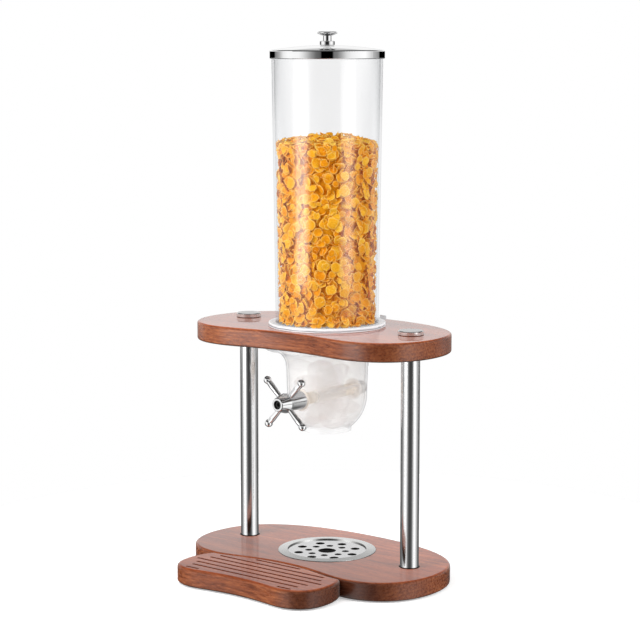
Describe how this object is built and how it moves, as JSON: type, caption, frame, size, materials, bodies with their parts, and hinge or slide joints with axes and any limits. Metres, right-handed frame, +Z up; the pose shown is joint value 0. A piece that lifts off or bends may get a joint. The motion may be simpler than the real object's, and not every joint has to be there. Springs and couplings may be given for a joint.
{
  "type": "gravity bulk food dispenser",
  "caption": "Clear gravity food hopper with a steel lid on a lacquered wooden stand, emptied by a hand-turned paddle wheel over a crumb cup, with a loose grooved shelf in front.",
  "frame": {"origin": "centre of the footprint of the stand with its shelf, at the level of the table", "axes": "+Z up, -Y to the front, where the handle and the grooved shelf are, +X to the right seen from the front"},
  "size_m": [0.383, 0.2944, 0.7282],
  "materials": {
    "board_lacquer": "clear lacquer, glossy",
    "post_steel": "polished",
    "cap_steel": "satin top, polished rim",
    "hidden_steel": "plain",
    "tray_steel": "satin",
    "foot_rubber": "matt",
    "clear_hopper": "clear, polished",
    "frosted_bell": "clear with a faint milky cast",
    "inner_plastic": "translucent",
    "cream_silicone": "translucent silicone",
    "bush_plastic": "smooth",
    "gate_plastic": "clear, polished",
    "mirror_chrome": "mirror",
    "flakes": "dry toasted flakes"
  },
  "bodies": {
    "stand": {"base_board": "board_lacquer", "top_board": "board_lacquer", "post_left": "post_steel", "post_right": "post_steel", "post_plug_lower_left": "hidden_steel", "post_plug_lower_right": "hidden_steel", "post_plug_upper_left": "hidden_steel", "post_plug_upper_right": "hidden_steel", "base_screws": "hidden_steel", "base_washers": "hidden_steel", "post_cap_left": "cap_steel", "post_cap_right": "cap_steel", "base_foot_1": "foot_rubber", "base_foot_2": "foot_rubber", "base_foot_3": "foot_rubber", "base_foot_4": "foot_rubber", "bell_housing": "frosted_bell", "bell_screws": "hidden_steel", "bell_gasket": "cream_silicone", "cheek_front": "inner_plastic", "cheek_rear": "inner_plastic", "bush_front": "bush_plastic", "bush_rear": "bush_plastic", "washer_front": "cream_silicone", "washer_rear": "cream_silicone", "escutcheon": "mirror_chrome"},
    "wheel_and_handle": {"drive_shaft": "hidden_steel", "wheel_core": "inner_plastic", "paddle_wheel": "cream_silicone", "handle_hub": "mirror_chrome", "handle_arm_1": "mirror_chrome", "handle_arm_2": "mirror_chrome", "handle_arm_3": "mirror_chrome", "handle_arm_4": "mirror_chrome", "handle_screw": "hidden_steel", "rear_cap_nut": "mirror_chrome"},
    "hopper": {"hopper_base": "clear_hopper", "hopper_tube": "clear_hopper", "flake_fill": "flakes"},
    "gate": {"shutoff_gate": "gate_plastic"},
    "lid": {"lid_cover": "mirror_chrome", "lid_gasket": "cream_silicone", "lid_knob": "mirror_chrome", "knob_collar": "mirror_chrome", "knob_washer": "hidden_steel", "knob_screw": "hidden_steel"},
    "cup": {"tray_cup": "tray_steel"},
    "grille": {"tray_grille": "tray_steel"},
    "shelf": {"shelf_board": "board_lacquer", "shelf_foot_1": "foot_rubber", "shelf_foot_2": "foot_rubber", "shelf_foot_3": "foot_rubber", "shelf_foot_4": "foot_rubber"}
  },
  "joints": [
    {"name": "wheel_turn", "type": "hinge", "parent": "stand", "child": "wheel_and_handle", "pos_m": [0, 0.04525, 0.243], "axis": [0, -1, 0], "continuous": true},
    {"name": "hopper_lift", "type": "slide", "parent": "stand", "child": "hopper", "axis": [0, 0, 1], "range_m": [0, 0.1]},
    {"name": "gate_slide", "type": "slide", "parent": "hopper", "child": "gate", "axis": [0.3256, 0.9455, 0], "range_m": [0, 0.13]},
    {"name": "lid_lift", "type": "slide", "parent": "hopper", "child": "lid", "axis": [0, 0, 1], "range_m": [0, 0.08]},
    {"name": "cup_lift", "type": "slide", "parent": "stand", "child": "cup", "axis": [0, 0, 1], "range_m": [0, 0.06]},
    {"name": "grille_lift", "type": "slide", "parent": "cup", "child": "grille", "axis": [0, 0, 1], "range_m": [0, 0.05]},
    {"name": "shelf_slide", "type": "slide", "parent": "stand", "child": "shelf", "axis": [0, -1, 0], "range_m": [0, 0.12]}
  ]
}
